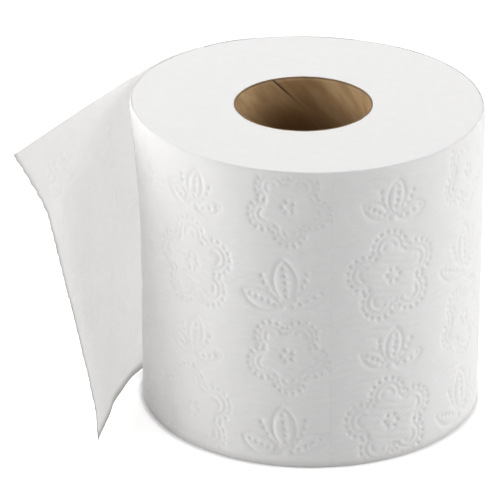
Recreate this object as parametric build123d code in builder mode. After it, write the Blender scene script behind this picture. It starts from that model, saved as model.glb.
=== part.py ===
from build123d import *
from math import cos, hypot, pi, radians, sin
import os

os.makedirs("parts", exist_ok=True)

# A bath tissue roll stands on its end. The origin is on the core's axis, at the lower end.
# One long web of tissue is wound on a cardboard core, and its last sheet hangs loose.

# Wound roll
roll_radius = 55.0          # outside of the firm turns
roll_height = 102.0         # width of the web, which is also the length of the core
rim_radius = 1.2            # the outer turns' edges are pressed soft at both ends
wind_offset = (2.7, 0.8)    # the turns lie a little off the core's axis

# Outer turns, which have slackened at the top beside the loose sheet
slack_lift = 4.7            # how far they stand out from the firm turns
slack_middle = 150.0        # direction of the fullest slack, in degrees from +X
slack_reach = 80.0          # degrees to each side over which it dies away
slack_depth = 50.0          # how far down from the top it reaches
slack_power = 1.5           # it opens faster towards the top

# Core
core_bore_radius = 21.5
core_wall = 0.5
core_fit = 0.0              # the first turn is glued to the core, with no clearance

# Loose sheet
sheet_thickness = 0.4
sheet_end_inset = 0.4       # its long edges lie just inside the roll's ends
root_sink = 1.6             # it comes out from between the turns, from this depth
root_angle_bottom = 144.0   # where it starts, in degrees from +X
root_angle_top = 137.0
root_heading_bottom = 225.0     # the way it runs there, in degrees from +X
root_heading_top = 226.0
free_heading_bottom = 264.0     # the way it runs at its torn edge
free_heading_top = 249.5
free_edge_forward = 47.5    # the torn edge's lower corner lies this far before the wind's centre
free_edge_trail = 4.6       # and its upper corner this much less far
free_edge_out = 12.0        # its lower corner lies this far outside the firm turns
free_edge_lean = 19.0       # its upper part leans out by this much more
lean_start = 0.10           # from this share of the height upwards
free_edge_lift = 5.0        # its lower corner hangs this far above the ground
lift_power = 1.8            # the lower edge rises faster towards that corner
corner_curl = 6.0           # the top corner bends back beyond a soft fold
fold_start = 0.40           # where the fold leaves the top edge, as a share of the length
fold_end = 0.78             # where it meets the torn edge, as a share of the height
curl_power = 1.4

# Fineness of the curved outlines
outline_points = 24
sheet_points = 9


def slack_at(angle):
    """How far the slack turns stand out in a direction, in degrees from +X."""
    away = abs((angle - slack_middle + 180) % 360 - 180)
    if away >= slack_reach:
        return 0.0
    return slack_lift * cos(pi / 2 * away / slack_reach) ** 2


def slack_share(height):
    """How much of the slack shows at a height above the ground."""
    above = max(0.0, height - (roll_height - slack_depth))
    return (above / slack_depth) ** slack_power


def roll_edge(angle, height):
    """Radius of the wound roll, from the wind's centre."""
    return roll_radius + slack_at(angle) * slack_share(height)


def blend(start, end, share):
    """A value part of the way from start to end."""
    return start + (end - start) * share


def bezier(p0, p1, p2, p3, t):
    """A point on a cubic curve."""
    s = 1 - t
    return s**3 * p0 + 3 * s**2 * t * p1 + 3 * s * t**2 * p2 + t**3 * p3


def sheet_point(along, up):
    """A point on the loose sheet, along from root to torn edge and up from lower to upper edge."""
    low = sheet_end_inset
    height = blend(low, roll_height - sheet_end_inset, up)

    angle = blend(root_angle_bottom, root_angle_top, up)
    radius = roll_edge(angle, height) - root_sink
    start_x = radius * cos(radians(angle))
    start_y = radius * sin(radians(angle))
    leaning = max(0.0, (up - lean_start) / (1 - lean_start))
    end_x = -(roll_radius + free_edge_out + free_edge_lean * leaning)
    end_y = free_edge_trail * up - free_edge_forward

    handle = hypot(end_x - start_x, end_y - start_y) / 3
    start_heading = radians(blend(root_heading_bottom, root_heading_top, up))
    end_heading = radians(blend(free_heading_bottom, free_heading_top, up))
    x = bezier(start_x, start_x + handle * cos(start_heading),
               end_x - handle * cos(end_heading), end_x, along)
    y = bezier(start_y, start_y + handle * sin(start_heading),
               end_y - handle * sin(end_heading), end_y, along)
    z = height + free_edge_lift * (1 - up) * along**lift_power

    reach = max(0.0, (along - fold_start) / (1 - fold_start))
    beyond = max(0.0, up - blend(1.0, fold_end, reach)) / (1 - fold_end)
    x -= corner_curl * beyond**curl_power
    return (x + wind_offset[0], y + wind_offset[1], z)


# Cardboard core
with BuildPart() as core_tube:
    with BuildSketch():
        Circle(core_bore_radius + core_wall)
        Circle(core_bore_radius, mode=Mode.SUBTRACT)
    extrude(amount=roll_height)

# Wound tissue with its loose sheet
slack_foot = roll_height - slack_depth
slack_levels = [slack_foot + slack_depth * step / 3 for step in (1, 2, 3)]

with BuildPart() as tissue_roll:
    with BuildSketch() as firm_turns:
        with Locations(wind_offset):
            Circle(roll_radius)
    extrude(amount=slack_foot)
    fillet(tissue_roll.edges().group_by(Axis.Z)[0], rim_radius)

    with BuildSketch(Plane.XY.offset(slack_foot)):
        with Locations(wind_offset):
            Circle(roll_radius)
    for level in slack_levels:
        with BuildSketch(Plane.XY.offset(level)):
            with BuildLine():
                outline = []
                for step in range(outline_points):
                    angle = 360 * step / outline_points
                    radius = roll_edge(angle, level)
                    outline.append((wind_offset[0] + radius * cos(radians(angle)),
                                    wind_offset[1] + radius * sin(radians(angle))))
                Spline(*outline, periodic=True)
            make_face()
    loft()
    fillet(tissue_roll.edges().group_by(Axis.Z)[-1], rim_radius)

    sheet_net = [[sheet_point(i / (sheet_points - 1), j / (sheet_points - 1))
                  for j in range(sheet_points)] for i in range(sheet_points)]
    sheet_face = Face.make_surface_from_array_of_points(
        [[Vector(*point) for point in row] for row in sheet_net], tol=0.02)
    thicken(sheet_face, amount=sheet_thickness / 2, both=True)

    with BuildSketch():
        Circle(core_bore_radius + core_wall + core_fit)
    extrude(amount=roll_height, mode=Mode.SUBTRACT)

core_tube.part.label = "core_tube"
tissue_roll.part.label = "tissue_roll"
export_step(core_tube.part, "parts/core_tube.step")
export_step(tissue_roll.part, "parts/tissue_roll.step")
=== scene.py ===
"""A bath tissue roll that stands on its end, with its last sheet hanging loose.

The wound body and the cardboard core are turned shapes. The outer web is made of its perforated
sheets: each starts as a flat grid, is embossed while flat, and is then wound onto the roll or led
along the hanging path. All lengths are in metres and all angles in radians, unless a name says
otherwise.
"""
import logging
from dataclasses import dataclass, field
from enum import Enum
from math import cos, pi, radians, sin, tau

import bmesh
import bpy
import numpy as np
from mathutils import Matrix, Vector


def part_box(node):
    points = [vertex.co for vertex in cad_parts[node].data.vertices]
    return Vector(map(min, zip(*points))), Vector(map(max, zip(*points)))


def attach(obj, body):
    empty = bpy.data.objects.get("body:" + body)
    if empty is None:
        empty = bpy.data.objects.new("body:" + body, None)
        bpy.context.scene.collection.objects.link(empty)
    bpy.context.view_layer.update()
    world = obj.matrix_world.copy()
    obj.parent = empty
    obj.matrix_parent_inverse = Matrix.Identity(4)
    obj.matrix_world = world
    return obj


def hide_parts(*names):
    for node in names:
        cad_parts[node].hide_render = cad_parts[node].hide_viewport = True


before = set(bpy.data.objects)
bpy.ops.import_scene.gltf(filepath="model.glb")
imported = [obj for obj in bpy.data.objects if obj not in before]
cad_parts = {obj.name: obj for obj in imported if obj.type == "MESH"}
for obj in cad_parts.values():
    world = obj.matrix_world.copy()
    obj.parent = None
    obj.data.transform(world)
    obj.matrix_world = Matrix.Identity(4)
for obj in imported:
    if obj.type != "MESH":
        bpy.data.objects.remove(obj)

Colour = tuple[float, float, float]

log = logging.getLogger("tissue_roll")

MM = 0.001
ROOT = "root"
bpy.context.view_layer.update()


# ---------------------------------------------------------------- small helpers

def smooth_step(value: np.ndarray) -> np.ndarray:
    """Ease from 0 to 1 while the value goes from 0 to 1."""
    held = np.clip(value, 0.0, 1.0)
    return held * held * (3.0 - 2.0 * held)


def soft_positive(value: np.ndarray, width: float) -> np.ndarray:
    """Return the positive part of a value, with its corner rounded over a width."""
    return 0.5 * (value + np.sqrt(value * value + width * width))


def blend(start: float, end: float, share: np.ndarray) -> np.ndarray:
    """Return the value part of the way from start to end."""
    return start + (end - start) * share


@dataclass(frozen=True)
class Swell:
    """Gentle, uneven swells, summed from a few slanted waves.

    Attributes:
        depth: About how far they rise and fall.
        wave: The longest wave.
        seed: Chooses the slants and phases.
    """

    depth: float
    wave: float
    seed: int
    waves: int = 6
    shortening: float = 0.45
    fading: float = 0.4
    fullness: float = 3.2

    def at(self, first: np.ndarray, second: np.ndarray) -> np.ndarray:
        """Return the swell at some places.

        Args:
            first: One coordinate of each place.
            second: The other coordinate.

        Returns:
            The height at each place.
        """
        draw = np.random.default_rng(self.seed)
        total = np.zeros_like(first)
        for order in range(self.waves):
            slant, phase = draw.uniform(0.0, pi), draw.uniform(0.0, tau)
            turns = tau * (1.0 + self.shortening * order) / self.wave
            across = first * cos(slant) + second * sin(slant)
            total = total + np.sin(turns * across + phase) / (1.0 + self.fading * order)
        return self.depth * total / self.fullness


def read_points(mesh: bpy.types.Mesh) -> np.ndarray:
    """Read a mesh's vertex places.

    Args:
        mesh: The mesh.

    Returns:
        One row of x, y and z for each vertex.
    """
    places = np.zeros(len(mesh.vertices) * 3)
    mesh.vertices.foreach_get("co", places)
    return places.reshape(-1, 3)


def write_points(mesh: bpy.types.Mesh, places: np.ndarray) -> None:
    """Store one row of x, y and z for each vertex as a mesh's vertex places."""
    mesh.vertices.foreach_set("co", places.astype(np.float32).ravel())
    mesh.update()


def store_uv(mesh: bpy.types.Mesh, name: str, layout: np.ndarray) -> None:
    """Store a mesh's UV map.

    Args:
        mesh: The mesh.
        name: The map's name.
        layout: One row of u and v for each vertex.
    """
    corners = np.zeros(len(mesh.loops), dtype=int)
    mesh.loops.foreach_get("vertex_index", corners)
    layer = mesh.uv_layers.new(name=name)
    layer.data.foreach_set("uv", layout[corners].astype(np.float32).ravel())


def to_object(name: str, bm: bmesh.types.BMesh) -> bpy.types.Object:
    """Turn a bmesh into a smooth-shaded object at the origin and link it.

    Args:
        name: The piece's name.
        bm: The finished bmesh, which is freed.

    Returns:
        The new object.
    """
    mesh = bpy.data.meshes.new(name)
    bm.to_mesh(mesh)
    bm.free()
    mesh.polygons.foreach_set("use_smooth", [True] * len(mesh.polygons))
    piece = bpy.data.objects.new(name, mesh)
    bpy.context.scene.collection.objects.link(piece)
    return piece


@dataclass(frozen=True)
class Ring:
    """A ring with a rectangular section, turned about the upright axis.

    Attributes:
        inner: Its inner radius.
        outer: Its outer radius.
        high: Its height.
        level_cuts: Cuts across each end face.
        upright_cuts: Cuts up each wall.
        steps: Steps round the ring.
        rim: How far its outer rims are rounded.
        rim_segments: Faces round each rim.
    """

    inner: float
    outer: float
    high: float
    level_cuts: int
    upright_cuts: int
    steps: int
    rim: float = 0.0
    rim_segments: int = 5

    def build(self, name: str) -> bpy.types.Object:
        """Turn the section.

        Args:
            name: The piece's name.

        Returns:
            The linked object.
        """
        bm = bmesh.new()
        corners = [bm.verts.new((x, 0.0, z)) for x, z in
                   ((self.inner, 0.0), (self.outer, 0.0),
                    (self.outer, self.high), (self.inner, self.high))]
        for first, second in zip(corners, corners[1:] + corners[:1]):
            bm.edges.new((first, second))
        if self.rim:
            bmesh.ops.bevel(bm, geom=corners[1:3], offset=self.rim, segments=self.rim_segments,
                            profile=0.5, affect="VERTICES", material=-1)
        sides = [edge for edge in bm.edges if edge.calc_length() > self.rim]
        level = [edge for edge in sides if edge.verts[0].co.z == edge.verts[1].co.z]
        upright = [edge for edge in sides if edge not in level]
        bmesh.ops.subdivide_edges(bm, edges=level, cuts=self.level_cuts)
        bmesh.ops.subdivide_edges(bm, edges=upright, cuts=self.upright_cuts)
        bmesh.ops.spin(bm, geom=bm.verts[:] + bm.edges[:], axis=(0.0, 0.0, 1.0),
                       cent=(0.0, 0.0, 0.0), angle=tau, steps=self.steps, use_merge=True)
        bmesh.ops.recalc_face_normals(bm, faces=bm.faces)
        return to_object(name, bm)


# ---------------------------------------------------------------- shape of the roll

@dataclass(frozen=True)
class RollShape:
    """Outline of the wound roll, with its slack outer turns.

    The sizes that the frame states are read from its boxes. The others are the roll's own.
    """

    height: float
    radius: float
    core_radius: float
    wind_x: float = 2.7 * MM
    wind_y: float = 0.8 * MM
    slack_lift: float = 4.7 * MM
    slack_middle: float = radians(150.0)
    slack_reach: float = radians(80.0)
    slack_depth: float = 50.0 * MM
    slack_power: float = 1.5
    rim: float = 1.0 * MM
    rim_fullness: float = 0.62

    @classmethod
    def from_frame(cls) -> "RollShape":
        """Read the roll's height and radii from the frame."""
        _, roll_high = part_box("tissue_roll")
        _, core_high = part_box("core_tube")
        return cls(height=roll_high.z, radius=roll_high.x - cls.wind_x, core_radius=core_high.x)

    def edge(self, angle: np.ndarray, height: np.ndarray) -> np.ndarray:
        """Return the roll's radius about the wind's centre.

        Args:
            angle: Direction from the wind's centre.
            height: Height above the ground.

        Returns:
            The radius, fuller where the outer turns are slack.
        """
        away = np.abs((angle - self.slack_middle + pi) % tau - pi) / self.slack_reach
        swell = np.where(away < 1.0, np.cos(0.5 * pi * np.clip(away, 0.0, 1.0)) ** 2, 0.0)
        above = np.clip((height - self.height + self.slack_depth) / self.slack_depth, 0.0, 1.0)
        return self.radius + self.slack_lift * swell * above ** self.slack_power

    def rim_pull(self, height: np.ndarray) -> np.ndarray:
        """Return how far the soft rim draws in, near both ends.

        Args:
            height: Height above the ground.

        Returns:
            The loss of radius at each point.
        """
        past = np.abs(height - 0.5 * self.height) - (0.5 * self.height - self.rim)
        share = np.clip(past / self.rim, 0.0, 1.0)
        return self.rim * (1.0 - np.sqrt(1.0 - self.rim_fullness * share * share))


@dataclass(frozen=True)
class WebPath:
    """Where each point of the flat web lies once it is wound.

    The web is measured from its torn edge: along is the distance back from that edge, and up is
    the height on the roll. It hangs free for about one sheet and then winds clockwise, seen from
    above, below the turns that it came from.
    """

    roll: RollShape
    gauge: float = 0.28 * MM
    turn_pitch: float = 0.5 * MM
    meet_along: float = 90.0 * MM
    meet_angle: float = radians(140.5)
    end_inset: float = 0.08 * MM
    root_sink: float = 1.6 * MM
    root_angles: tuple[float, float] = (radians(144.0), radians(137.0))
    root_headings: tuple[float, float] = (radians(225.0), radians(226.0))
    free_headings: tuple[float, float] = (radians(264.0), radians(249.5))
    free_forward: float = 47.5 * MM
    free_trail: float = 4.6 * MM
    free_out: float = 12.0 * MM
    free_lean: float = 19.0 * MM
    lean_start: float = 0.10
    lean_round: float = 0.06
    free_lift: float = 5.0 * MM
    lift_power: float = 1.8
    corner_curl: float = 6.0 * MM
    fold_start: float = 0.40
    fold_end: float = 0.78
    curl_power: float = 1.4
    peel_round: float = 0.6 * MM
    peel_slope: float = 0.3
    probe: float = 0.2 * MM

    def root_along(self, up: np.ndarray) -> np.ndarray:
        """Return how far from the torn edge the web meets the roll, for a share of the height."""
        angle = blend(*self.root_angles, up)
        return self.meet_along + self.roll.radius * (self.meet_angle - angle)

    def wound_radius(self, angle: np.ndarray, height: np.ndarray) -> np.ndarray:
        """Return the radius of the web's middle, where each turn lies below the one after it.

        Args:
            angle: Unrolled angle, which falls below meet_angle as the web winds in.
            height: Height above the ground.

        Returns:
            The radius about the wind's centre.
        """
        wound = np.clip(self.meet_angle - angle, 0.0, None) / tau
        outside = self.roll.edge(angle, height) - self.roll.rim_pull(height)
        return outside - 0.5 * self.gauge - self.turn_pitch * wound

    def hanging(self, share: np.ndarray, up: np.ndarray, height: np.ndarray) -> np.ndarray:
        """Lay out the hanging part, about the wind's centre.

        Args:
            share: From 0 where the web leaves the roll to 1 at its torn edge.
            up: From 0 at the lower long edge to 1 at the upper.
            height: Height of the same point on the roll.

        Returns:
            One row of x, y and z for each point.
        """
        angle = blend(*self.root_angles, up)
        radius = self.roll.edge(angle, height) - self.root_sink
        start_x, start_y = radius * np.cos(angle), radius * np.sin(angle)
        leaning = soft_positive((up - self.lean_start) / (1.0 - self.lean_start), self.lean_round)
        end_x = -(self.roll.radius + self.free_out + self.free_lean * leaning)
        end_y = self.free_trail * up - self.free_forward
        handle = np.hypot(end_x - start_x, end_y - start_y) / 3.0
        leave, arrive = blend(*self.root_headings, up), blend(*self.free_headings, up)
        x = cubic(start_x, start_x + handle * np.cos(leave),
                  end_x - handle * np.cos(arrive), end_x, share)
        y = cubic(start_y, start_y + handle * np.sin(leave),
                  end_y - handle * np.sin(arrive), end_y, share)
        z = height + self.free_lift * (1.0 - up) * share ** self.lift_power
        reach = np.clip((share - self.fold_start) / (1.0 - self.fold_start), 0.0, 1.0)
        beyond = np.clip(up - blend(1.0, self.fold_end, reach), 0.0, None) / (1.0 - self.fold_end)
        return np.column_stack((x - self.corner_curl * beyond ** self.curl_power, y, z))

    def place(self, along: np.ndarray, height: np.ndarray) -> np.ndarray:
        """Return where the web's middle lies.

        Args:
            along: Distance back from the torn edge.
            height: Height on the roll.

        Returns:
            One row of x, y and z for each point, in the part's frame.
        """
        up = np.clip(height / self.roll.height, 0.0, 1.0)
        root = self.root_along(up)
        share = np.clip(1.0 - along / root, 0.0, None)
        hung = self.hanging(share, up, height)
        on_roll = along >= root
        wound_angle = blend(*self.root_angles, up) - (along - root) / self.roll.radius
        angle = np.where(on_roll, wound_angle, np.arctan2(hung[:, 1], hung[:, 0]) % tau)
        surface = self.wound_radius(angle, height)
        lifted = np.hypot(hung[:, 0], hung[:, 1]) - surface
        lifted = np.where(on_roll, self.peel_slope * (root - along) - self.root_sink, lifted)
        radius = surface + soft_positive(lifted, self.peel_round)
        return np.column_stack((
            self.roll.wind_x + radius * np.cos(angle),
            self.roll.wind_y + radius * np.sin(angle),
            np.where(on_roll, height, hung[:, 2]),
        ))

    def outward(self, along: np.ndarray, height: np.ndarray) -> np.ndarray:
        """Return the web's unit normals, on the side that faces out when wound.

        Args:
            along: Distance back from the torn edge.
            height: Height on the roll.

        Returns:
            One row for each point.
        """
        back = self.place(np.clip(along - self.probe, 0.0, None), height)
        ahead = self.place(along + self.probe, height)
        low = self.place(along, np.clip(height - self.probe, 0.0, self.roll.height))
        high = self.place(along, np.clip(height + self.probe, 0.0, self.roll.height))
        normal = np.cross(high - low, ahead - back)
        return normal / np.linalg.norm(normal, axis=1, keepdims=True)


def cubic(p0: np.ndarray, p1: np.ndarray, p2: np.ndarray, p3: np.ndarray,
          share: np.ndarray) -> np.ndarray:
    """Return points on a cubic curve.

    Args:
        p0: Where it starts.
        p1: What leads it there.
        p2: What leads it to its end.
        p3: Where it ends.
        share: How far along each point is.

    Returns:
        The points.
    """
    rest = 1.0 - share
    return rest**3 * p0 + 3 * rest**2 * share * p1 + 3 * rest * share**2 * p2 + share**3 * p3


# ---------------------------------------------------------------- embossing

class Tool(Enum):
    """How an embossing roll marks a line: a row of pins or a plain rib."""

    PINS = "pins"
    RIB = "rib"


@dataclass(frozen=True)
class Stroke:
    """One curve of the embossed design, in the design's own cell.

    Attributes:
        tool: Pins or a rib.
        centre: Centre of the arc.
        radius: Radius of the arc.
        start: Angle at which it starts.
        sweep: Angle that it turns through.
    """

    tool: Tool
    centre: tuple[float, float]
    radius: float
    start: float
    sweep: float

    def points(self, pitch: float) -> np.ndarray:
        """Mark out the stroke.

        Args:
            pitch: About how far apart the points lie.

        Returns:
            One row of along and up for each point.
        """
        count = max(2, round(self.sweep * self.radius / pitch) + 1)
        angle = self.start + self.sweep * np.linspace(0.0, 1.0, count)
        return np.column_stack((self.centre[0] + self.radius * np.cos(angle),
                                self.centre[1] + self.radius * np.sin(angle)))


@dataclass(frozen=True)
class Motif:
    """Where one motif stands in the design's cell.

    Attributes:
        along: Its place along the web.
        up: Its place up the web.
        size: Share of its full size.
        lean: Direction of its first petal or middle leaf.
    """

    along: float
    up: float
    size: float
    lean: float


@dataclass
class Embossing:
    """A repeating design of blossoms and leaf sprays, pressed into the web.

    The design fills a cell that repeats along the web and up it. Heights are worked out once for
    the cell and then looked up.
    """

    cell_along: float = 67.0 * MM
    cell_up: float = 51.0 * MM
    pin_pitch: float = 2.3 * MM
    rib_pitch: float = 0.5 * MM
    pin_radius: float = 0.62 * MM
    rib_radius: float = 0.46 * MM
    pin_depth: float = 0.50 * MM
    rib_depth: float = 0.29 * MM
    puff: float = 0.24 * MM
    puff_reach: float = 3.0 * MM
    wave_count: int = 20
    wave_depth: float = 0.15 * MM
    wave_sway: float = 1.2 * MM
    wave_gap: float = 1.5 * MM
    wave_ease: float = 1.2 * MM
    cell_step: float = 0.17 * MM
    blossoms: tuple[Motif, ...] = (
        Motif(16.75 * MM, 13.77 * MM, 1.0, radians(82.0)),
        Motif(50.25 * MM, 39.27 * MM, 0.86, radians(50.0)),
    )
    sprays: tuple[Motif, ...] = (
        Motif(50.25 * MM, 4.27 * MM, 1.08, radians(84.0)),
        Motif(16.75 * MM, 32.47 * MM, 0.84, radians(97.0)),
    )
    # A petal is made of arcs inside each other: each one's tool, radius and sweep.
    petals: tuple[tuple[Tool, float, float], ...] = (
        (Tool.PINS, 5.9 * MM, radians(226.0)),
        (Tool.RIB, 4.2 * MM, radians(214.0)),
        (Tool.RIB, 2.1 * MM, radians(160.0)),
    )
    eye_radius: float = 2.2 * MM
    petal_reach: float = 9.4 * MM
    # Each leaf's turn from the middle one and its share of the full size.
    leaves: tuple[tuple[float, float], ...] = (
        (radians(-64.0), 1.0), (0.0, 1.12), (radians(66.0), 0.94))
    leaf_length: float = 12.5 * MM
    leaf_half_width: float = 3.1 * MM
    midrib_share: float = 0.8
    midrib_bow: float = 0.2 * MM
    tendril_turn: float = radians(31.0)
    tendril_length: float = 11.0 * MM
    tendril_bow: float = 0.9 * MM
    stem_gap: float = 2.0 * MM
    heights: np.ndarray = field(init=False, repr=False)

    def __post_init__(self) -> None:
        """Work out the heights over one cell."""
        strokes = [stroke for motif in self.blossoms for stroke in self.blossom(motif)]
        strokes += [stroke for motif in self.sprays for stroke in self.spray(motif)]
        pins, ribs = (np.vstack([stroke.points(pitch) for stroke in strokes if stroke.tool is tool])
                      for tool, pitch in ((Tool.PINS, self.pin_pitch), (Tool.RIB, self.rib_pitch)))
        columns = round(self.cell_along / self.cell_step)
        rows = round(self.cell_up / self.cell_step)
        along, up = np.meshgrid(np.arange(columns) * self.cell_along / columns,
                                np.arange(rows) * self.cell_up / rows, indexing="ij")
        to_pin = self.nearest(along, up, pins)
        to_rib = self.nearest(along, up, ribs)
        height = -self.pin_depth * np.exp(-((to_pin / self.pin_radius) ** 2))
        height = np.minimum(height, -self.rib_depth * np.exp(-((to_rib / self.rib_radius) ** 2)))
        gap = np.minimum(to_pin, to_rib)
        swell = self.puff * np.sin(0.5 * pi * np.clip(gap / self.puff_reach, 0.0, 1.0))
        self.heights = height + swell - self.waves(along, up, gap)

    def blossom(self, motif: Motif) -> list[Stroke]:
        """Draw a five-petalled blossom.

        Args:
            motif: Where it stands.

        Returns:
            Its strokes.
        """
        eye = (motif.along, motif.up)
        strokes = [Stroke(Tool.PINS, eye, self.eye_radius * motif.size, 0.0, tau)]
        reach = self.petal_reach * motif.size
        for petal in range(5):
            away = motif.lean + tau * petal / 5
            middle = (motif.along + reach * cos(away), motif.up + reach * sin(away))
            strokes += [Stroke(tool, middle, radius * motif.size, away - 0.5 * sweep, sweep)
                        for tool, radius, sweep in self.petals]
        return strokes

    def spray(self, motif: Motif) -> list[Stroke]:
        """Draw a spray of three leaves with pinned midribs, and two tendrils.

        Args:
            motif: Where the leaves meet.

        Returns:
            Its strokes.
        """
        strokes = []
        for turn, share in self.leaves:
            away = motif.lean + turn
            length, half_width = (whole * motif.size * share for whole in
                                  (self.leaf_length, self.leaf_half_width))
            strokes += [
                self.bowed(Tool.RIB, motif, away, length, half_width),
                self.bowed(Tool.RIB, motif, away, length, -half_width),
                self.bowed(Tool.PINS, motif, away, self.midrib_share * length, self.midrib_bow),
            ]
        for hand in (-1.0, 1.0):
            strokes.append(self.bowed(Tool.PINS, motif, motif.lean + hand * self.tendril_turn,
                                      self.tendril_length * motif.size, hand * self.tendril_bow))
        return strokes

    def bowed(self, tool: Tool, motif: Motif, away: float, length: float, bow: float) -> Stroke:
        """Return a shallow arc that starts beside a motif's place and runs away from it.

        Args:
            tool: Pins or a rib.
            motif: The motif.
            away: Direction that the arc's chord takes.
            length: Length of the chord.
            bow: How far the arc stands off its chord, to the left where it is positive.

        Returns:
            The stroke.
        """
        reach = self.stem_gap + 0.5 * length
        radius = (0.25 * length**2 + bow**2) / (2.0 * abs(bow))
        side = away + (0.5 * pi if bow > 0.0 else -0.5 * pi)
        centre = (motif.along + reach * cos(away) - (radius - abs(bow)) * cos(side),
                  motif.up + reach * sin(away) - (radius - abs(bow)) * sin(side))
        half = float(np.arcsin(0.5 * length / radius))
        return Stroke(tool, centre, radius, side - half, 2.0 * half)

    def waves(self, along: np.ndarray, up: np.ndarray, gap: np.ndarray) -> np.ndarray:
        """Return the depth of the wavy lines that fill the ground between the motifs.

        Args:
            along: Places along the web.
            up: Places up the web.
            gap: Distance from each place to the nearest pin or rib.

        Returns:
            The depth at each place.
        """
        sway = self.wave_sway * np.sin(2.0 * tau * along / self.cell_along)
        trough = 0.5 + 0.5 * np.cos(tau * self.wave_count * (up + sway) / self.cell_up)
        free = smooth_step((gap - self.wave_gap) / self.wave_ease)
        return self.wave_depth * free * trough**2

    def nearest(self, along: np.ndarray, up: np.ndarray, marks: np.ndarray) -> np.ndarray:
        """Measure to the nearest mark, across the cell's own repeats.

        Args:
            along: Places along the web.
            up: Places up the web.
            marks: One row of along and up for each mark.

        Returns:
            The distance from each place.
        """
        best = np.full(along.shape, 1.0)
        for mark_along, mark_up in marks:
            gap_along = (along - mark_along + 0.5 * self.cell_along) % self.cell_along
            gap_up = (up - mark_up + 0.5 * self.cell_up) % self.cell_up
            gap = np.hypot(gap_along - 0.5 * self.cell_along, gap_up - 0.5 * self.cell_up)
            best = np.minimum(best, gap)
        return best

    def height_at(self, along: np.ndarray, up: np.ndarray) -> np.ndarray:
        """Look up the embossed height, blended between the cell's four nearest places.

        Args:
            along: Places along the web.
            up: Places up the web.

        Returns:
            The height at each place.
        """
        columns, rows = self.heights.shape
        column, row = along / self.cell_along * columns, up / self.cell_up * rows
        left, low = np.floor(column).astype(int), np.floor(row).astype(int)
        right_share, high_share = column - left, row - low
        value = 0.0
        for step_along, share_along in ((0, 1.0 - right_share), (1, right_share)):
            for step_up, share_up in ((0, 1.0 - high_share), (1, high_share)):
                found = self.heights[(left + step_along) % columns, (low + step_up) % rows]
                value = value + found * share_along * share_up
        return value


# ---------------------------------------------------------------- the web's sheets

@dataclass(frozen=True)
class Perforation:
    """The row of slits that joins one sheet to the next."""

    pitch: float = 4.0 * MM
    bond: float = 1.1 * MM
    gap: float = 0.025 * MM
    dip: float = 0.06 * MM
    dip_reach: float = 1.0 * MM
    torn_tooth: float = 0.55 * MM
    bond_ease: float = 0.35 * MM
    fray: tuple[Swell, ...] = (Swell(0.45, 11.0 * MM, 17), Swell(0.45, 3.1 * MM, 5))
    tooth_share: float = 0.55

    def slit(self, height: np.ndarray) -> np.ndarray:
        """Tell the slits from the bonds.

        Args:
            height: Height on the roll.

        Returns:
            1 in a slit and 0 at a bond, eased between them.
        """
        place = height % self.pitch
        from_bond = np.minimum(place, self.pitch - place) - 0.5 * self.bond
        return smooth_step(from_bond / self.bond_ease)

    def torn(self, height: np.ndarray) -> np.ndarray:
        """Return how far the torn edge stands back, where the bonds broke unevenly.

        Args:
            height: Height on the roll.

        Returns:
            The distance at each point.
        """
        level = np.zeros_like(height)
        uneven = sum(swell.at(height, level) for swell in self.fray)
        return self.torn_tooth * (self.tooth_share * self.slit(height) + uneven)


class Hold(Enum):
    """How a sheet of the web is held."""

    HUNG = "hung"
    WOUND = "stretched"


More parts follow.
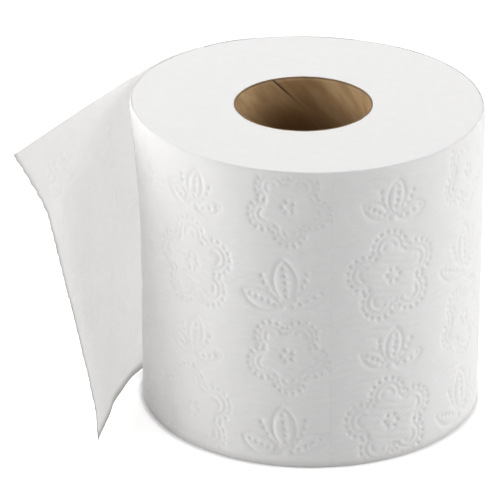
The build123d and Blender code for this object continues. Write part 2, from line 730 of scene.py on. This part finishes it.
@dataclass
class TissueSheet:
    """One perforated sheet of the web, or the last part of one."""

    name: str
    path: WebPath
    embossing: Embossing
    perforation: Perforation
    start: float
    end: float
    hold: Hold
    cell: float = 0.52 * MM
    plain_hem: float = 0.6 * MM
    hem_ease: float = 2.2 * MM
    hanging_ease: float = 25.0 * MM
    hanging_loss: float = 0.5
    unevenness: Swell = Swell(0.16 * MM, 34.0 * MM, 3)
    fold: Swell = Swell(0.35 * MM, 60.0 * MM, 11)
    crease: Swell = Swell(0.22 * MM, 24.0 * MM, 19)
    crease_stretch: float = 0.12
    end_reach: float = 1.2 * MM
    torn_back: float = 0.6 * MM

    def build(self) -> bpy.types.Object:
        """Make the flat sheet, emboss it, wind it and give it its thickness.

        Returns:
            The sheet, not yet dressed.
        """
        height = self.path.roll.height - 2.0 * self.path.end_inset
        length = self.end - self.start
        bm = bmesh.new()
        bmesh.ops.create_grid(bm, x_segments=round(length / self.cell),
                              y_segments=round(height / self.cell), size=0.5)
        bmesh.ops.scale(bm, vec=(length, height, 1.0), verts=bm.verts)
        bmesh.ops.translate(bm, verts=bm.verts,
                            vec=(0.5 * (self.start + self.end), 0.5 * self.path.roll.height, 0.0))
        bmesh.ops.reverse_faces(bm, faces=bm.faces)
        for edge in bm.edges:
            edge.smooth = not edge.is_boundary
        piece = to_object(self.name, bm)
        flat = read_points(piece.data)
        store_uv(piece.data, "flat", flat[:, :2])
        write_points(piece.data, self.wound(flat[:, 0], flat[:, 1]))
        wall = piece.modifiers.new("gauge", "SOLIDIFY")
        wall.thickness = self.path.gauge
        wall.offset = 0.0
        return piece

    def wound(self, along: np.ndarray, height: np.ndarray) -> np.ndarray:
        """Return the embossed web's places once wound.

        Args:
            along: Distance back from the torn edge, on the flat web.
            height: Height on the roll.

        Returns:
            One row of x, y and z for each point.
        """
        relief = self.relief(along, height)
        along = self.trimmed(along, height)
        return self.path.place(along, height) + relief[:, None] * self.path.outward(along, height)

    def relief(self, along: np.ndarray, height: np.ndarray) -> np.ndarray:
        """Return how far the face stands out from the plain web.

        Args:
            along: Distance back from the torn edge.
            height: Height on the roll.

        Returns:
            The height of the relief at each point.
        """
        to_edge = np.minimum(height, self.path.roll.height - height)
        strength = smooth_step((to_edge - self.plain_hem) / self.hem_ease)
        hanging = smooth_step((self.path.meet_along - along) / self.hanging_ease)
        strength = strength * (1.0 - self.hanging_loss * hanging)
        pressed = strength * self.embossing.height_at(along, height)
        folded = self.fold.at(along, height) + self.crease.at(along, self.crease_stretch * height)
        return pressed + self.unevenness.at(along, height) + hanging * folded - self.dip(along)

    def dip(self, along: np.ndarray) -> np.ndarray:
        """Return how far the web sinks beside the perforations at its two ends."""
        nearest = np.minimum(np.abs(along - self.start), np.abs(along - self.end))
        return self.perforation.dip * np.exp(-((nearest / self.perforation.dip_reach) ** 2))

    def trimmed(self, along: np.ndarray, height: np.ndarray) -> np.ndarray:
        """Draw the sheet's two ends back where the slits part them, or where one is torn.

        Args:
            along: Distance back from the torn edge.
            height: Height on the roll.

        Returns:
            The distances with the ends drawn back.
        """
        slit = self.perforation.gap * self.perforation.slit(height)
        at_start = np.exp(-(along - self.start) / self.end_reach)
        at_end = np.exp(-(self.end - along) / self.end_reach)
        torn = self.start == 0.0
        back = self.perforation.torn(height) + self.torn_back if torn else slit
        return along + back * at_start - slit * at_end


@dataclass
class OuterWeb:
    """The outer turn of the web, sheet by sheet, from the torn edge inwards."""

    roll: RollShape
    sheet_length: float = 101.6 * MM
    tuck: float = 12.0 * MM
    path: WebPath = field(init=False)
    embossing: Embossing = field(default_factory=Embossing)
    perforation: Perforation = field(default_factory=Perforation)

    def __post_init__(self) -> None:
        """Lay out the web's path on the roll."""
        self.path = WebPath(self.roll)

    def build(self, finish: "TissueFinish") -> list[bpy.types.Object]:
        """Args:
            finish: The tissue's finish.

        Returns:
            The sheets, from the loose one inwards.
        """
        dressed = {hold: finish.material(layer) for hold, layer in
                   ((Hold.HUNG, Layer.LOOSE), (Hold.WOUND, Layer.WOUND))}
        last = self.path.meet_along + tau * self.roll.radius + self.tuck
        pieces = []
        start = 0.0
        while start < last:
            end = min(start + self.sheet_length, last)
            number = len(pieces) + 1
            hold = Hold.HUNG if number == 1 else Hold.WOUND
            sheet = TissueSheet(f"tissue_sheet_{number}", self.path, self.embossing,
                                self.perforation, start, end, hold)
            piece = sheet.build()
            piece.data.materials.append(dressed[sheet.hold])
            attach(piece, ROOT)
            pieces.append(piece)
            start = end
        return pieces


# ---------------------------------------------------------------- the wound turns

@dataclass
class WoundTurns:
    """The turns below the outer web, with both end faces."""

    web: OuterWeb
    end_rings: int = 88
    side_rings: int = 40
    steps: int = 288
    end_roughness: float = 0.08 * MM
    # Swells that follow the turns, each with how fast it changes round the roll.
    end_rings_uneven: tuple[tuple[Swell, float], ...] = (
        (Swell(1.0, 5.2 * MM, 23), 0.02), (Swell(0.6, 1.9 * MM, 29), 0.03))
    end_uneven: Swell = Swell(0.8, 70.0 * MM, 31)
    end_sink: float = 0.05 * MM
    end_share: float = 0.03
    tuck_ease: float = radians(4.0)
    clearance: float = 0.08 * MM
    closed_gap: float = 0.45
    closing_reach: float = 1.6 * MM

    def build(self, finish: "TissueFinish") -> bpy.types.Object:
        """Turn the section, fit it under the web and dress it.

        Args:
            finish: The tissue's finish.

        Returns:
            The piece.
        """
        roll = self.web.roll
        ring = Ring(roll.core_radius, roll.radius, roll.height, self.end_rings, self.side_rings,
                    self.steps, roll.rim)
        piece = ring.build("wound_turns")
        write_points(piece.data, self.fitted(read_points(piece.data)))
        piece.data.materials.append(finish.material(Layer.TURNS))
        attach(piece, ROOT)
        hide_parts("tissue_roll")
        return piece

    def outline(self, angle: np.ndarray, height: np.ndarray) -> np.ndarray:
        """Return the radius just under the outer web, about the wind's centre.

        Args:
            angle: Direction from the wind's centre.
            height: Height above the ground.

        Returns:
            The radius at each point.
        """
        path = self.web.path
        wound = (path.meet_angle - angle) % tau
        tucked = self.web.tuck / self.web.roll.radius
        first = smooth_step(1.0 - (wound - tucked) / self.tuck_ease)
        depth = path.turn_pitch * (wound / tau + first)
        to_end = np.minimum(height, self.web.roll.height - height)
        opening = blend(self.closed_gap, 1.0, smooth_step(to_end / self.closing_reach))
        return self.web.roll.edge(angle, height) - depth - (path.gauge + self.clearance) * opening

    def fitted(self, places: np.ndarray) -> np.ndarray:
        """Move the turned shape's points out to the slack outline and roughen its ends.

        Args:
            places: One row for each point of the plain turned shape.

        Returns:
            The rows where the points lie.
        """
        roll = self.web.roll
        angle = np.arctan2(places[:, 1], places[:, 0])
        plain = np.hypot(places[:, 0], places[:, 1])
        share = (plain - roll.core_radius) / (roll.radius - roll.core_radius)
        height = places[:, 2]
        radius = roll.core_radius + share * (self.outline(angle, height) - roll.core_radius)
        turn = radius + self.web.path.turn_pitch * angle / tau
        x, y = radius * np.cos(angle), radius * np.sin(angle)
        uneven = self.end_uneven.at(x, y)
        for swell, stretch in self.end_rings_uneven:
            uneven = uneven + swell.at(turn, stretch * angle)
        rough = self.end_roughness * (0.5 + 0.5 * np.clip(uneven, -1.0, 1.0))
        from_middle = height / (0.5 * roll.height) - 1.0
        near_end = smooth_step((np.abs(from_middle) - 1.0) / self.end_share + 1.0)
        return np.column_stack((
            share * roll.wind_x + x,
            share * roll.wind_y + y,
            height - np.sign(from_middle) * near_end * (rough + self.end_sink),
        ))


# ---------------------------------------------------------------- the core

@dataclass
class CardboardCore:
    """The spirally wound cardboard tube, with the seam where its strips meet."""

    roll: RollShape
    wall: float = 0.5 * MM
    seam_lead: float = 145.0 * MM
    seam_start: float = radians(118.0)
    seam_depth: float = 0.16 * MM
    seam_half_width: float = 0.30 * MM
    on_seam: float = 1e-9
    lap: float = 0.07 * MM
    lap_rise: float = 3.0 * MM
    lap_end: float = 16.0 * MM
    lap_fall: float = 14.0 * MM
    gather: float = radians(14.0)
    gathered: float = 0.14
    end_cut: float = 0.12 * MM
    end_reach: float = 0.01 * MM
    end_uneven: Swell = Swell(0.5, 9.0 * MM, 43)
    steps: int = 180
    rings: int = 72
    wall_cuts: int = 2

    def build(self, finish: "CardboardFinish") -> bpy.types.Object:
        """Turn the wall, twist it to follow the seam, press the seam in and dress it.

        Args:
            finish: The board's finish.

        Returns:
            The piece.
        """
        outer = self.roll.core_radius
        ring = Ring(outer - self.wall, outer, self.roll.height, self.wall_cuts, self.rings,
                    self.steps)
        piece = ring.build("cardboard_core")
        self.twist(piece.data)
        piece.data.materials.append(finish.material("core_board"))
        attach(piece, ROOT)
        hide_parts("core_tube")
        return piece

    def twist(self, mesh: bpy.types.Mesh) -> None:
        """Turn the wall's upright lines into the seam's spiral and press the seam in.

        Args:
            mesh: The plain turned wall, which is changed in place.
        """
        places = read_points(mesh)
        angle = np.arctan2(places[:, 1], places[:, 0])
        radius = np.hypot(places[:, 0], places[:, 1])
        height = places[:, 2]
        from_seam = (angle - self.seam_start + pi) % tau - pi
        near = np.clip(np.abs(from_seam) / self.gather, 0.0, 1.0)
        from_seam = from_seam * blend(self.gathered, 1.0, near * near)
        across = from_seam * radius
        inside = np.clip((self.roll.core_radius - radius) / self.wall, 0.0, 1.0)
        groove = self.seam_depth * np.exp(-((across / self.seam_half_width) ** 2))
        lap = self.lap * smooth_step((across + self.seam_half_width) / self.lap_rise)
        lap = lap * smooth_step((self.lap_end - across) / self.lap_fall)
        radius = radius + inside * (groove - np.where(across > -self.on_seam, lap, 0.0))
        fall = tau * (height - self.roll.height) / self.seam_lead
        turned = self.seam_start + from_seam + fall
        from_middle = height - 0.5 * self.roll.height
        at_end = np.abs(from_middle) > 0.5 * self.roll.height - self.end_reach
        cut = self.end_cut * (0.5 + self.end_uneven.at(angle * radius, radius)) * at_end
        write_points(mesh, np.column_stack((radius * np.cos(turned), radius * np.sin(turned),
                                            height - np.sign(from_middle) * cut)))
        store_uv(mesh, "strip", np.column_stack((across, height)))


# ---------------------------------------------------------------- finishes

class Graph:
    """A material's or group's nodes, with short ways to add and join them."""

    def __init__(self, tree: bpy.types.NodeTree) -> None:
        """Keep the tree that nodes are added to."""
        self.tree = tree

    def add(self, kind: str, **values: object) -> bpy.types.Node:
        """Add a node and set its properties or its inputs.

        Args:
            kind: The node's type name.
            **values: Properties by name, or inputs by name with spaces as underscores.

        Returns:
            The node.
        """
        node = self.tree.nodes.new(kind)
        for key, value in values.items():
            if hasattr(node, key):
                setattr(node, key, value)
            else:
                node.inputs[key.replace("_", " ")].default_value = value
        return node

    def join(self, source: bpy.types.NodeSocket, target: bpy.types.NodeSocket) -> None:
        """Link an output to an input."""
        self.tree.links.new(source, target)

    def maths(self, operation: str, first: object, second: object = 0.0) -> bpy.types.NodeSocket:
        """Add a maths node.

        Args:
            operation: What it does.
            first: A number or an output.
            second: A number or an output.

        Returns:
            Its output.
        """
        node = self.tree.nodes.new("ShaderNodeMath")
        node.operation = operation
        for index, value in enumerate((first, second)):
            if isinstance(value, bpy.types.NodeSocket):
                self.join(value, node.inputs[index])
            else:
                node.inputs[index].default_value = value
        return node.outputs[0]

    def eased(self, value: bpy.types.NodeSocket, ends: tuple[float, float],
              shares: tuple[float, float]) -> bpy.types.NodeSocket:
        """Ease from the first share to the second while a value goes between two ends.

        Args:
            value: The value.
            ends: Where it starts and stops easing.
            shares: What comes out there.

        Returns:
            The eased output.
        """
        ease = self.add("ShaderNodeMapRange", interpolation_type="SMOOTHSTEP", From_Min=ends[0],
                        From_Max=ends[1], To_Min=shares[0], To_Max=shares[1])
        self.join(value, ease.inputs["Value"])
        return ease.outputs["Result"]

    def split(self, source: bpy.types.NodeSocket) -> bpy.types.NodeOutputs:
        """Split a vector.

        Args:
            source: The output that gives the vector.

        Returns:
            The X, Y and Z outputs.
        """
        node = self.add("ShaderNodeSeparateXYZ")
        self.join(source, node.inputs[0])
        return node.outputs

    def over(self, below: bpy.types.NodeSocket | Colour, colour: Colour,
             share: bpy.types.NodeSocket) -> bpy.types.NodeSocket:
        """Lay a colour over another one by a share.

        Args:
            below: The colour below, or the output that gives it.
            colour: The colour above.
            share: How much of the colour above shows.

        Returns:
            The mixed colour.
        """
        mix = self.add("ShaderNodeMix", data_type="RGBA")
        self.join(share, mix.inputs["Factor"])
        if isinstance(below, bpy.types.NodeSocket):
            self.join(below, mix.inputs["A"])
        else:
            mix.inputs["A"].default_value = (*below, 1.0)
        mix.inputs["B"].default_value = (*colour, 1.0)
        return mix.outputs["Result"]

    def mixed(self, share: bpy.types.NodeSocket, first: bpy.types.NodeSocket,
              second: bpy.types.NodeSocket) -> bpy.types.NodeSocket:
        """Mix two shaders by a share.

        Args:
            share: How much of the second one shows.
            first: The first shader.
            second: The second shader.

        Returns:
            The mixed shader.
        """
        mix = self.add("ShaderNodeMixShader")
        for source, target in zip((share, first, second), mix.inputs):
            self.join(source, target)
        return mix.outputs[0]

    def fibre(self, source: bpy.types.NodeSocket, scale: float, contrast: float) -> bpy.types.Node:
        """Add the shared fibre effect.

        Args:
            source: The coordinates that it reads.
            scale: Its finest noise's scale.
            contrast: How strongly it mottles.

        Returns:
            The group's node.
        """
        node = self.add("ShaderNodeGroup", node_tree=fibre_group())
        node.inputs["Scale"].default_value = scale
        node.inputs["Contrast"].default_value = contrast
        self.join(source, node.inputs["Vector"])
        return node

    def seen(self) -> bpy.types.NodeSocket:
        """Tell the camera's own rays from the light's.

        Returns:
            1 on rays that come straight, mirrored or refracted to the camera, and else 0.
        """
        rays = self.add("ShaderNodeLightPath").outputs
        most = self.maths("MAXIMUM", rays["Is Camera Ray"], rays["Is Glossy Ray"])
        most = self.maths("MAXIMUM", most, rays["Is Transmission Ray"])
        most = self.maths("SUBTRACT", most, rays["Is Diffuse Ray"])
        return self.maths("MAXIMUM", most, 0.0)


def fibre_group() -> bpy.types.NodeTree:
    """Build the shared fibre effect, which mottles paper and board and gives them a felted height.

    Returns:
        A group with Vector, Scale and Contrast inputs, and Height and Mottle outputs.
    """
    known = bpy.data.node_groups.get("felted_fibre")
    if known:
        return known
    group = bpy.data.node_groups.new("felted_fibre", "ShaderNodeTree")
    face = group.interface
    face.new_socket("Vector", in_out="INPUT", socket_type="NodeSocketVector")
    for name, default in (("Scale", 1000.0), ("Contrast", 1.0)):
        face.new_socket(name, in_out="INPUT", socket_type="NodeSocketFloat").default_value = default
    for name in ("Height", "Mottle"):
        face.new_socket(name, in_out="OUTPUT", socket_type="NodeSocketFloat")
    graph = Graph(group)
    inlet, outlet = graph.add("NodeGroupInput"), graph.add("NodeGroupOutput")
    fine = graph.add("ShaderNodeTexNoise", Detail=4.0, Roughness=0.65)
    coarse = graph.add("ShaderNodeTexNoise", Detail=3.0, Roughness=0.55)
    for node in (fine, coarse):
        graph.join(inlet.outputs["Vector"], node.inputs["Vector"])
    graph.join(inlet.outputs["Scale"], fine.inputs["Scale"])
    graph.join(graph.maths("MULTIPLY", inlet.outputs["Scale"], 0.12), coarse.inputs["Scale"])
    graph.join(fine.outputs["Fac"], outlet.inputs["Height"])
    spread = graph.maths("SUBTRACT", coarse.outputs["Fac"], 0.5)
    graph.join(graph.maths("MULTIPLY", spread, inlet.outputs["Contrast"]), outlet.inputs["Mottle"])
    return group


def new_material(name: str, roughness: float,
                 specular: float) -> tuple[bpy.types.Material, Graph, bpy.types.Node]:
    """Make a material with a Principled shader.

    Args:
        name: The material's name.
        roughness: The shader's roughness.
        specular: Its specular level.

    Returns:
        The material, its graph and the shader node.
    """
    material = bpy.data.materials.new(name)
    material.use_nodes = True
    shader = material.node_tree.nodes["Principled BSDF"]
    shader.inputs["Roughness"].default_value = roughness
    shader.inputs["Specular IOR Level"].default_value = specular
    return material, Graph(material.node_tree), shader


class Layer(Enum):
    """Which part of the tissue a material is for."""

    TURNS = "turns"
    WOUND = "wound"
    LOOSE = "loose"


@dataclass(frozen=True)
class TissueFinish:
    """Soft white two-ply tissue."""

    colour: Colour = (0.93, 0.924, 0.918)
    shade: Colour = (0.89, 0.884, 0.878)
    # The edge colour and the reaches and shares below paint shade along each sheet's lower long
    # edge, and along the loose sheet's torn edge.
    painted_edge_shade: Colour = (0.46, 0.45, 0.44)
    hem_reach: float = 3.0 * MM
    hem_painted_shade: float = 0.3
    loose_hem_reach: float = 4.0 * MM
    loose_hem_painted_shade: float = 0.6
    torn_reach: float = 3.0 * MM
    torn_painted_shade: float = 0.4
    passes_light: float = 0.68
    hangs_until: float = 78.0 * MM
    lies_from: float = 96.0 * MM
    roughness: float = 0.92
    specular: float = 0.25
    fibre_scale: float = 2600.0
    fibre_contrast: float = 1.1
    shade_share: float = 0.35
    felt_height: float = 0.5
    bump_strength: float = 0.55
    bump_depth: float = 0.12 * MM
    lattice_pitch: float = 1.05 * MM
    lattice_height: float = 0.22
    turn_pitch: float = 0.55 * MM
    turn_height: float = 0.13
    turn_sway: float = 1.2 * MM
    sway_scale: float = 60.0

    def material(self, layer: Layer) -> bpy.types.Material:
        """Make the tissue's material.

        Args:
            layer: The part of the tissue. The turns show the edge of every turn on the end faces,
                and the loose sheet lets light through where it hangs.

        Returns:
            The material.
        """
        material, graph, shader = new_material(f"tissue_{layer.value}", self.roughness,
                                               self.specular)
        place = graph.add("ShaderNodeTexCoord").outputs
        fibre = graph.fibre(place["Object"], self.fibre_scale, self.fibre_contrast)
        tone = graph.over(self.colour, self.shade,
                          graph.maths("ADD", fibre.outputs["Mottle"], self.shade_share))
        if layer is Layer.TURNS:
            relief = self.end_relief(graph, place["Object"])
        else:
            relief = self.lattice(graph, place["UV"])
            # Painted shade along the sheet's lower long edge, and along the loose sheet's torn
            # edge.
            tone = self.with_painted_edge_shade(graph, place["UV"], tone, layer)
        graph.join(tone, shader.inputs["Base Color"])
        felt = graph.maths("MULTIPLY", fibre.outputs["Height"], self.felt_height)
        bump = graph.add("ShaderNodeBump", Strength=self.bump_strength, Distance=self.bump_depth)
        graph.join(graph.maths("ADD", relief, felt), bump.inputs["Height"])
        graph.join(bump.outputs["Normal"], shader.inputs["Normal"])
        if layer is Layer.LOOSE:
            through = graph.add("ShaderNodeBsdfTranslucent")
            graph.join(tone, through.inputs["Color"])
            graph.join(bump.outputs["Normal"], through.inputs["Normal"])
            hanging = graph.eased(graph.split(place["UV"])["X"],
                                  (self.hangs_until, self.lies_from), (self.passes_light, 0.0))
            lit = graph.mixed(hanging, shader.outputs[0], through.outputs[0])
            graph.join(lit, material.node_tree.nodes["Material Output"].inputs["Surface"])
        return material

    def with_painted_edge_shade(self, graph: Graph, flat: bpy.types.NodeSocket, tone: bpy.types.NodeSocket,
                     layer: Layer) -> bpy.types.NodeSocket:
        """Paint shade along a sheet's lower long edge, and along its torn edge where it has one.

        Args:
            graph: The material's nodes.
            flat: The flat sheet's coordinates.
            tone: The colour so far.
            layer: The part of the tissue.

        Returns:
            The colour, with painted shade along those edges.
        """
        edges = (("Y", self.hem_reach, self.hem_painted_shade),)
        if layer is Layer.LOOSE:
            edges = (("Y", self.loose_hem_reach, self.loose_hem_painted_shade),
                     ("X", self.torn_reach, self.torn_painted_shade))
        for side, reach, share in edges:
            near = graph.eased(graph.split(flat)[side], (0.0, reach), (share, 0.0))
            tone = graph.over(tone, self.painted_edge_shade, near)
        return tone

    def lattice(self, graph: Graph, flat: bpy.types.NodeSocket) -> bpy.types.NodeSocket:
        """Work out the fine diagonal lattice that holds the two plies together.

        Args:
            graph: The material's nodes.
            flat: The flat sheet's coordinates.

        Returns:
            Its height.
        """
        axes = graph.split(flat)
        turns = tau / (self.lattice_pitch * 2.0**0.5)
        slants = (graph.maths(way, axes["X"], axes["Y"]) for way in ("ADD", "SUBTRACT"))
        lines = [graph.maths("SINE", graph.maths("MULTIPLY", slant, turns)) for slant in slants]
        return graph.maths("MULTIPLY", graph.maths("MAXIMUM", *lines), self.lattice_height)

    def end_relief(self, graph: Graph, place: bpy.types.NodeSocket) -> bpy.types.NodeSocket:
        """Work out the edges of the turns on the roll's end faces.

        Args:
            graph: The material's nodes.
            place: The piece's own coordinates.

        Returns:
            Their height.
        """
        axes = graph.split(place)
        squares = (graph.maths("MULTIPLY", axes[name], axes[name]) for name in ("X", "Y"))
        radius = graph.maths("SQRT", graph.maths("ADD", *squares))
        wobble = graph.add("ShaderNodeTexNoise", Scale=self.sway_scale, Detail=2.0)
        graph.join(place, wobble.inputs["Vector"])
        sway = graph.maths("MULTIPLY", wobble.outputs["Fac"], self.turn_sway)
        turns = graph.maths("MULTIPLY", graph.maths("ADD", radius, sway), tau / self.turn_pitch)
        return graph.maths("MULTIPLY", graph.maths("SINE", turns), self.turn_height)


@dataclass(frozen=True)
class CardboardFinish:
    """Brown recycled board, darker along the seam between its strips, with painted shade that
    darkens the wall deeper inside the tube.
    """

    length: float
    colour: Colour = (0.42, 0.268, 0.132)
    pale: Colour = (0.595, 0.410, 0.220)
    # Painted shade for the wall deeper inside the tube.
    painted_depth_shade: Colour = (0.20, 0.118, 0.058)
    dark: Colour = (0.10, 0.064, 0.038)
    roughness: float = 0.8
    specular: float = 0.3
    grain_turn: float = radians(43.0)
    grain_stretch: float = 0.5
    grain_scale: float = 1500.0
    grain_contrast: float = 3.0
    pale_share: float = 0.4
    depth_shade_ends: tuple[float, float] = (4.0 * MM, 19.0 * MM)
    depth_shade_share: float = 0.75
    seam_sides: tuple[float, float] = (0.75 * MM, 0.1 * MM)
    seam_ends: tuple[float, float] = (11.0 * MM, 3.0 * MM)
    rim_ends: tuple[float, float] = (0.8 * MM, 0.2 * MM)
    rim_share: float = 0.7
    bump_strength: float = 0.4
    bump_depth: float = 0.08 * MM

    def material(self, name: str) -> bpy.types.Material:
        """Make the board's material.

        Args:
            name: The material's name.

        Returns:
            The material.
        """
        material, graph, shader = new_material(name, self.roughness, self.specular)
        strip = graph.add("ShaderNodeTexCoord").outputs["UV"]
        stretch = graph.add("ShaderNodeMapping", Rotation=(0.0, 0.0, self.grain_turn),
                            Scale=(1.0, self.grain_stretch, 1.0))
        graph.join(strip, stretch.inputs["Vector"])
        fibre = graph.fibre(stretch.outputs["Vector"], self.grain_scale, self.grain_contrast)
        tone = graph.over(self.colour, self.pale,
                          graph.maths("ADD", fibre.outputs["Mottle"], self.pale_share))
        axes = graph.split(strip)
        to_end = graph.maths("MINIMUM", axes["Y"], graph.maths("SUBTRACT", self.length, axes["Y"]))
        line = graph.eased(graph.maths("ABSOLUTE", axes["X"]), self.seam_sides, (0.0, 1.0))
        shown = graph.eased(to_end, self.seam_ends, (0.0, 1.0))
        # The depth shade is painted shade, darker deeper inside the tube. The seam is drawn dark
        # near both ends, and the board is drawn darker right at its cut ends.
        for colour, share in (
            (self.painted_depth_shade, graph.eased(to_end, self.depth_shade_ends, (0.0, self.depth_shade_share))),
            (self.dark, graph.maths("MULTIPLY", line, shown)),
            (self.dark, graph.eased(to_end, self.rim_ends, (0.0, self.rim_share))),
        ):
            tone = graph.over(tone, colour, share)
        graph.join(tone, shader.inputs["Base Color"])
        bump = graph.add("ShaderNodeBump", Strength=self.bump_strength, Distance=self.bump_depth)
        graph.join(fibre.outputs["Height"], bump.inputs["Height"])
        graph.join(bump.outputs["Normal"], shader.inputs["Normal"])
        return material


# ---------------------------------------------------------------- studio

@dataclass(frozen=True)
class Lamp:
    """A square soft lamp, aimed at the roll's middle."""

    name: str
    place: tuple[float, float, float]
    size: float
    watts: float


@dataclass
class Studio:
    """Plain pale floor, soft lamps, a white world and the camera."""

    roll: RollShape
    lamps: tuple[Lamp, ...] = (
        Lamp("left_softbox", (-1.2, -0.1, 0.45), 0.8, 4.8),
        Lamp("left_high_softbox", (-1.1, -0.1, 0.95), 0.8, 4.2),
        Lamp("left_back_softbox", (-0.95, 0.85, 0.28), 0.8, 5.9),
        Lamp("left_front_softbox", (-0.9, -0.8, 0.5), 0.8, 4.4),
        Lamp("right_softbox", (1.2, -0.1, 0.45), 0.8, 6.7),
        Lamp("right_high_softbox", (1.1, -0.1, 0.95), 0.8, 6.2),
        Lamp("top_back_softbox", (0.0, 0.9, 1.1), 0.8, 7.9),
    )
    world_strength: float = 0.02
    floor_size: float = 6.0
    floor_colour: Colour = (0.82, 0.82, 0.82)
    floor_glow: Colour = (0.62, 0.62, 0.62)
    contact_reach: float = 2.2 * MM
    contact_samples: int = 12
    camera_back: float = 1.15599
    camera_up: float = 0.5984
    camera_tilt: float = radians(25.376)
    camera_turn: float = radians(0.974)
    lens_mm: float = 285.5
    sensor_mm: float = 36.0
    clip_end: float = 20.0

    def build(self) -> None:
        """Set up the floor, the light and the camera."""
        self.build_floor()
        self.build_world()
        for lamp in self.lamps:
            self.build_lamp(lamp)
        self.build_camera()
        bpy.context.scene.view_settings.view_transform = "Standard"

    def build_floor(self) -> None:
        """Lay a plain pale floor that keeps the roll's shadow and shows white to the camera."""
        bm = bmesh.new()
        bmesh.ops.create_grid(bm, x_segments=1, y_segments=1, size=0.5 * self.floor_size)
        floor = to_object("floor", bm)
        material, graph, shader = new_material("pale_floor", 0.9, 0.1)
        shader.inputs["Base Color"].default_value = (*self.floor_colour, 1.0)
        # Ambient occlusion dims the camera-only glow within a few millimetres of the roll. This is
        # a painted contact shadow beside the real one.
        contact = graph.add("ShaderNodeAmbientOcclusion", Distance=self.contact_reach)
        contact.samples = self.contact_samples
        glow = graph.add("ShaderNodeEmission")
        glow.inputs["Color"].default_value = (*self.floor_glow, 1.0)
        graph.join(graph.maths("POWER", contact.outputs["AO"], 2.0), glow.inputs["Strength"])
        bright = graph.add("ShaderNodeAddShader")
        for index, source in enumerate((shader, glow)):
            graph.join(source.outputs[0], bright.inputs[index])
        lit = graph.mixed(graph.seen(), shader.outputs[0], bright.outputs[0])
        graph.join(lit, material.node_tree.nodes["Material Output"].inputs["Surface"])
        floor.data.materials.append(material)

    def build_world(self) -> None:
        """Give a soft even light, and plain white where the camera sees the world."""
        world = bpy.data.worlds.new("white_room")
        bpy.context.scene.world = world
        world.use_nodes = True
        graph = Graph(world.node_tree)
        world.node_tree.nodes.clear()
        light = graph.add("ShaderNodeBackground", Color=(0.98, 0.99, 1.0, 1.0),
                          Strength=self.world_strength)
        white = graph.add("ShaderNodeBackground", Color=(1.0, 1.0, 1.0, 1.0), Strength=1.0)
        sky = graph.mixed(graph.seen(), light.outputs[0], white.outputs[0])
        graph.join(sky, graph.add("ShaderNodeOutputWorld").inputs["Surface"])

    def build_lamp(self, lamp: Lamp) -> None:
        """Hang one soft lamp and aim it at the roll's middle.

        Args:
            lamp: The lamp.
        """
        data = bpy.data.lights.new(lamp.name, "AREA")
        data.shape = "SQUARE"
        data.size = lamp.size
        data.energy = lamp.watts
        item = bpy.data.objects.new(lamp.name, data)
        bpy.context.scene.collection.objects.link(item)
        place = Vector(lamp.place)
        aim = Vector((0.0, 0.0, 0.5 * self.roll.height)) - place
        turn = aim.to_track_quat("-Z", "Y").to_matrix().to_4x4()
        item.matrix_world = Matrix.Translation(place) @ turn

    def build_camera(self) -> None:
        """Place a long lens well back, looking down on the roll."""
        data = bpy.data.cameras.new("camera")
        data.sensor_width = self.sensor_mm
        data.lens = self.lens_mm
        data.clip_end = self.clip_end
        camera = bpy.data.objects.new("camera", data)
        bpy.context.scene.collection.objects.link(camera)
        camera.location = (self.roll.wind_x, self.roll.wind_y - self.camera_back, self.camera_up)
        camera.rotation_euler = (0.5 * pi - self.camera_tilt, 0.0, self.camera_turn)
        bpy.context.scene.camera = camera


# ---------------------------------------------------------------- making

def count_triangles(piece: bpy.types.Object) -> int:
    """Count a piece's triangles once its modifiers are applied.

    Args:
        piece: The piece.

    Returns:
        How many there are.
    """
    finished = piece.evaluated_get(bpy.context.evaluated_depsgraph_get())
    triangles = sum(len(polygon.vertices) - 2 for polygon in finished.to_mesh().polygons)
    finished.to_mesh_clear()
    return triangles


def main() -> None:
    """Build the roll and its studio, and report each piece."""
    roll = RollShape.from_frame()
    Studio(roll).build()
    finish = TissueFinish()
    web = OuterWeb(roll)
    board = CardboardFinish(length=roll.height)
    pieces = [CardboardCore(roll).build(board), WoundTurns(web).build(finish), *web.build(finish)]
    for piece in pieces:
        log.info("%s: %d triangles", piece.name, count_triangles(piece))


if __name__ == "__main__":
    logging.basicConfig(level=logging.INFO, format="%(name)s: %(message)s")
    main()
